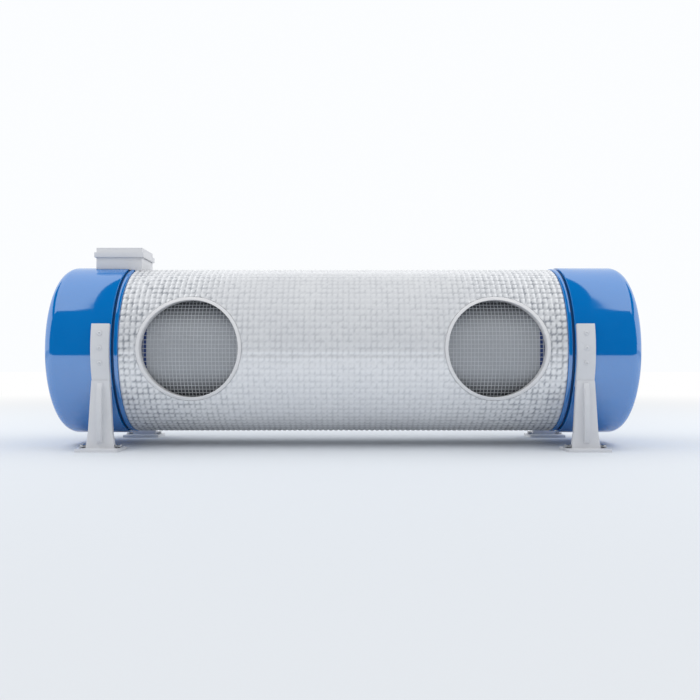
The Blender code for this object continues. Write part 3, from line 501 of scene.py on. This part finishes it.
bpy.ops.mesh.spin(steps=screen["longs"] - 1, dupli=True, axis=(1, 0, 0), center=(0, 0, axisZ),
                  angle=2 * math.pi * (screen["longs"] - 1) / screen["longs"])
endEdit()
screenPiece = joinPieces([hoops, longWires], "screen_wires")
startEdit(screenPiece)
bpy.ops.mesh.normals_make_consistent(inside=False)
endEdit()
smoothPiece(screenPiece, 60)
finishPiece(screenPiece, looks["screen_titanium"], "cell", "screen_titanium")
print("screen made:", len(screenPiece.data.polygons), "faces")


# drums, seals and collars, turned about the tube's axis

drum = {"mouth": 0.3677, "end": 0.4775, "radius": 0.143, "fillet": 0.021, "socketRadius": 0.1353,
        "socketEnd": 0.3926, "cavityRadius": 0.128, "wall": 0.007, "sides": 192, "lip": 0.0009,
        "bandStart": 0.44, "bandEnd": 0.40, "chamfer": 0.012, "pole": 0.0006, "endSteps": 14,
        "lipSteps": 4}
seal = {"start": 0.3640, "end": 0.3674, "radius": 0.1395, "inner": 0.1353, "edge": 0.0006}
collar = {"start": 0.3573, "end": 0.3637, "radius": 0.1414, "inner": 0.1353, "edge": 0.0011}
for side, endName in ((-1, "left"), (1, "right")):
    rings = [(drum["end"], drum["pole"])]
    rings += arcRings(drum["end"] - drum["fillet"], drum["radius"] - drum["fillet"],
                      drum["fillet"], 90, 0, drum["endSteps"])
    rings += [(drum["bandStart"], drum["radius"]), (drum["bandEnd"], drum["radius"]),
              (drum["mouth"] + drum["lip"], drum["radius"])]
    rings += arcRings(drum["mouth"] + drum["lip"], drum["radius"] - drum["lip"], drum["lip"],
                      0, -90, drum["lipSteps"])[1:]
    rings += [(drum["mouth"], drum["socketRadius"]), (drum["socketEnd"], drum["socketRadius"]),
              (drum["socketEnd"], drum["cavityRadius"]),
              (drum["end"] - drum["wall"] - drum["chamfer"], drum["cavityRadius"]),
              (drum["end"] - drum["wall"], drum["cavityRadius"] - drum["chamfer"]),
              (drum["end"] - drum["wall"], drum["pole"])]
    turn = (0, side * math.pi / 2, 0)
    cap = turned("drum_" + endName, rings, drum["sides"], False, (0, 0, axisZ), turn)
    smoothPiece(cap, 32)
    finishPiece(cap, looks["cap_blue"], "cell", "cap_blue", "end_cap_" + endName)
    rings = [(seal["start"], seal["inner"]), (seal["start"], seal["radius"]),
             (seal["end"], seal["radius"]), (seal["end"], seal["inner"])]
    sealPiece = turned("seal_ring_" + endName, rings, drum["sides"], True, (0, 0, axisZ), turn)
    roundEdges(sealPiece, seal["edge"])
    smoothPiece(sealPiece)
    finishPiece(sealPiece, looks["seal_navy"], "cell", "seal_navy", "collar_seal_" + endName)
    rings = [(collar["start"], collar["inner"]), (collar["start"], collar["radius"]),
             (collar["end"], collar["radius"]), (collar["end"], collar["inner"])]
    collarPiece = turned("collar_ring_" + endName, rings, drum["sides"], True, (0, 0, axisZ),
                         turn)
    roundEdges(collarPiece, collar["edge"], 3)
    smoothPiece(collarPiece)
    finishPiece(collarPiece, looks["cap_blue"], "cell", "cap_blue", "collar_" + endName)
print("drums, seals and collars made")


# port rings, legs, junction box and lid, eased from the CAD solids

edges = {"port": 0.0006, "leg": 0.0009, "box": 0.0008, "lid": 0.0012, "gland": 0.0005}
for endName in ("left", "right"):
    ring = softened("port_ring_" + endName, "port_lip_" + endName, edges["port"])
    finishPiece(ring, looks["port_white"], "cell", "port_white", "port_ring_" + endName)
    for face in ("front", "rear"):
        legName = "leg_" + face + "_" + endName
        legPiece = softened(legName, "bracket_" + face + "_" + endName, edges["leg"])
        finishPiece(legPiece, looks["bracket_grey"], "cell", "bracket_grey", legName)
boxPiece = softened("junction_box", "wiring_box", edges["box"])
finishPiece(boxPiece, looks["box_grey"], "cell", "box_grey", "junction_box")
lidPiece = softened("box_lid", "wiring_box_lid", edges["lid"], 3)
finishPiece(lidPiece, looks["box_grey"], "lid", "box_grey", "box_lid")
print("rings, brackets and box made")


# screws in the straps, bolts in the feet, screws in the lid

strapScrew = {"shank": 0.0019, "depth": 0.0045, "head": 0.0036, "height": 0.0018, "radius": 0.1503,
              "angles": (9, 0, -9), "sides": 24, "rim": 0.0007, "dome": 0.0013, "domeShare": 0.86,
              "topShare": 0.55, "recessShare": 0.36, "recessFloor": 0.0008, "floorShare": 0.34}
footBolt = {"washer": 0.0078, "washerHeight": 0.001, "head": 0.0062, "height": 0.0042, "shank": 0.0029,
            "footTop": 0.0045, "spread": 0.027, "fromAxis": 0.137, "gap": 0.0002, "shankEnd": 0.0004,
            "flatShare": 0.85, "topShare": 0.86, "washerSides": 40, "headSides": 6, "edge": 0.0003}
lidScrew = {"shankShare": 0.5, "head": 0.0026, "shoulder": 0.0009, "topShare": 0.8,
            "recess": 0.0012, "recessShare": 0.42, "floorShare": 0.38, "sides": 32}
headRings = [(-strapScrew["depth"], strapScrew["shank"]), (0, strapScrew["shank"]),
             (0, strapScrew["head"]), (strapScrew["rim"], strapScrew["head"]),
             (strapScrew["dome"], strapScrew["head"] * strapScrew["domeShare"]),
             (strapScrew["height"], strapScrew["head"] * strapScrew["topShare"]),
             (strapScrew["height"], strapScrew["head"] * strapScrew["recessShare"]),
             (strapScrew["recessFloor"], strapScrew["head"] * strapScrew["floorShare"])]
for face, front in (("front", -1), ("rear", 1)):
    for endName in ("left", "right"):
        for index, angle in enumerate(strapScrew["angles"]):
            screwEnd = "%s_%s_%d" % (face, endName, index + 1)
            low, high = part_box("strap_screw_" + screwEnd)
            lean = math.radians(angle)
            reach = strapScrew["radius"]
            place = ((low.x + high.x) / 2, front * reach * math.cos(lean),
                     axisZ + reach * math.sin(lean))
            turn = (-front * (math.pi / 2 - lean), 0, 0)
            screw = turned("strap_head_" + screwEnd, headRings, strapScrew["sides"], False,
                           place, turn)
            smoothPiece(screw, 35)
            finishPiece(screw, looks["bracket_grey"], "cell", "bracket_grey",
                        "strap_screw_" + screwEnd)
        legLow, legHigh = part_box("leg_%s_%s" % (face, endName))
        for letter, along in (("a", -1), ("b", 1)):
            top = footBolt["footTop"] + footBolt["gap"]
            place = ((legLow.x + legHigh.x) / 2 + along * footBolt["spread"],
                     front * footBolt["fromAxis"], 0)
            washer = turned("washer", [(top, footBolt["shank"]), (top, footBolt["washer"]),
                                       (top + footBolt["washerHeight"], footBolt["washer"]),
                                       (top + footBolt["washerHeight"], footBolt["shank"])],
                            footBolt["washerSides"], True, place)
            base = top + footBolt["washerHeight"]
            flat = base + footBolt["height"] * footBolt["flatShare"]
            crown = footBolt["head"] * footBolt["topShare"]
            head = turned("head", [(footBolt["shankEnd"], footBolt["shank"]),
                                   (base, footBolt["shank"]), (base, footBolt["head"]),
                                   (flat, footBolt["head"]), (base + footBolt["height"], crown)],
                          footBolt["headSides"], False, place)
            bolt = joinPieces([washer, head], "foot_bolt_%s_%s_%s" % (face, endName, letter))
            roundEdges(bolt, footBolt["edge"], 2, 30)
            smoothPiece(bolt, 30)
            finishPiece(bolt, looks["steel"], "cell", "steel")
for index in (1, 2):
    nodeName = "lid_screw_%d" % index
    low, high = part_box(nodeName)
    radius = (high.x - low.x) / 2
    tall = high.z - low.z
    under = tall - lidScrew["head"]
    rings = [(0, radius * lidScrew["shankShare"]), (under, radius * lidScrew["shankShare"]),
             (under, radius), (tall - lidScrew["shoulder"], radius),
             (tall, radius * lidScrew["topShare"]), (tall, radius * lidScrew["recessShare"]),
             (tall - lidScrew["recess"], radius * lidScrew["floorShare"])]
    place = ((low.x + high.x) / 2, (low.y + high.y) / 2, low.z)
    screw = turned("lid_head_%d" % index, rings, lidScrew["sides"], False, place)
    smoothPiece(screw, 35)
    finishPiece(screw, looks["steel"], "lid", "steel", nodeName)
gland = softened("cable_gland", "gland_nut", edges["gland"])
finishPiece(gland, looks["black_rubber"], "cell", "black_rubber", "cable_gland")
print("screws, bolts and gland made")


# floor, cards that only reflections see, lamps, world and camera

def flatLook(name, colour):
    finish = Finish(name)
    return finish.close({"Base Color": colour, "Roughness": 0.9, "Specular IOR Level": 0.1})


stage = {"floorTone": rgb(0.715, 0.745, 0.785), "fadeStart": 0.35, "fadeEnd": 3.2, "floorHalf": 30,
         "cardY": -1.03, "cardTop": 1.43, "cardHalf": 2.5, "cardFoot": 0.02,
         "overheadFront": 1.29, "overheadBack": 0.71}
clearSelection()
bpy.ops.mesh.primitive_grid_add(x_subdivisions=4, y_subdivisions=4, size=2 * stage["floorHalf"])
floor = bpy.context.object
floor.name = "floor"
floorFinish = Finish("floorLook")
apart = floorFinish.node("ShaderNodeVectorMath", {"operation": "LENGTH"}, {0: floorFinish.place},
                         output=1)
far = floorFinish.node("ShaderNodeMapRange", {"interpolation_type": "SMOOTHSTEP"},
                       {0: apart, 1: stage["fadeStart"], 2: stage["fadeEnd"], 3: 0.0, 4: 1.0})
rays = floorFinish.node("ShaderNodeLightPath")
plain = floorFinish.node("ShaderNodeBsdfDiffuse", {}, {"Color": stage["floorTone"]})
white = floorFinish.node("ShaderNodeEmission", {}, {"Color": rgb(1, 1, 1), "Strength": 1.0})
mixed = floorFinish.node("ShaderNodeMixShader", {}, {0: far * rays, 1: plain, 2: white})
floor.data.materials.append(floorFinish.send(mixed))
cardLook = flatLook("cardLook", rgb(0.0, 0.0, 0.0))
# each card: its centre, its turn and its size
cards = [((0, stage["cardY"], stage["cardTop"] / 2 + stage["cardFoot"]), (math.pi / 2, 0, 0),
          (2 * stage["cardHalf"], stage["cardTop"], 1)),
         ((0, 0.02, 1.70), (0, 0, 0), (1.48, 2.14, 1)),
         ((0, -1.05, 1.56), (math.pi / 2, 0, 0), (1.9, 0.3, 1)),
         ((-2.3, 0.05, 1.70), (0, 0, 0), (0.9, 2.6, 1)),
         ((2.3, 0.05, 1.70), (0, 0, 0), (0.9, 2.6, 1))]
for index, (location, rotation, size) in enumerate(cards):
    clearSelection()
    bpy.ops.mesh.primitive_grid_add(x_subdivisions=2, y_subdivisions=2, size=1)
    card = bpy.context.object
    card.name = "card_%d" % (index + 1)
    card.scale = size
    setPlace(card, location, rotation)
    if index == 1:    # the card overhead is wider in front
        startEdit(card)
        pick(card, lambda vert: vert.co.y < -1)
        bpy.ops.transform.resize(value=(stage["overheadFront"], 1, 1), center_override=location)
        pick(card, lambda vert: vert.co.y > 1)
        bpy.ops.transform.resize(value=(stage["overheadBack"], 1, 1), center_override=location)
        endEdit()
    card.data.materials.append(cardLook)
    card.visible_camera = False
    card.visible_diffuse = False
    card.visible_transmission = False
    card.visible_shadow = False

softbox = {"x": 1.415, "y": 0.05, "z": 1.66, "sizeX": 0.97, "sizeY": 2.5, "power": 19}
for side, name in ((-1, "left"), (1, "right")):
    lamp = bpy.data.lights.new("softbox_" + name, "AREA")
    lamp.shape = "RECTANGLE"
    lamp.size = softbox["sizeX"]
    lamp.size_y = softbox["sizeY"]
    lamp.energy = softbox["power"]
    lampObject = bpy.data.objects.new("softbox_" + name, lamp)
    lampObject.location = (side * softbox["x"], softbox["y"], softbox["z"])
    bpy.context.scene.collection.objects.link(lampObject)
    lampObject.visible_glossy = False

ambient = {"tone": rgb(0.97, 0.985, 1.0), "level": 0.76, "seenLevel": 1.0}
world = bpy.data.worlds.new("studio")
bpy.context.scene.world = world
sky = Finish("studio", world)
lit = sky.node("ShaderNodeBackground", {},
               {"Color": ambient["tone"], "Strength": ambient["level"]})
seen = sky.node("ShaderNodeBackground", {},
                {"Color": ambient["tone"], "Strength": ambient["seenLevel"]})
kinds = [sky.node("ShaderNodeLightPath", output="Is %s Ray" % kind)
         for kind in ("Camera", "Glossy", "Transmission")]
direct = sky.math("MAXIMUM", sky.math("MAXIMUM", kinds[0], kinds[1]), kinds[2])
sky.send(sky.node("ShaderNodeMixShader", {}, {0: direct, 1: lit, 2: seen}), "ShaderNodeOutputWorld")

view = {"location": (0.0109, -1.4406, 0.1298), "pitch": 1.29, "lens": 42.27, "sensor": 36}
camera = bpy.data.cameras.new("camera")
camera.lens = view["lens"]
camera.sensor_width = view["sensor"]
cameraObject = bpy.data.objects.new("camera", camera)
cameraObject.location = view["location"]
cameraObject.rotation_euler = (math.radians(90 + view["pitch"]), 0, 0)
bpy.context.scene.collection.objects.link(cameraObject)
bpy.context.scene.camera = cameraObject
bpy.context.scene.view_settings.view_transform = "Standard"

clearSelection()
print("scene done")
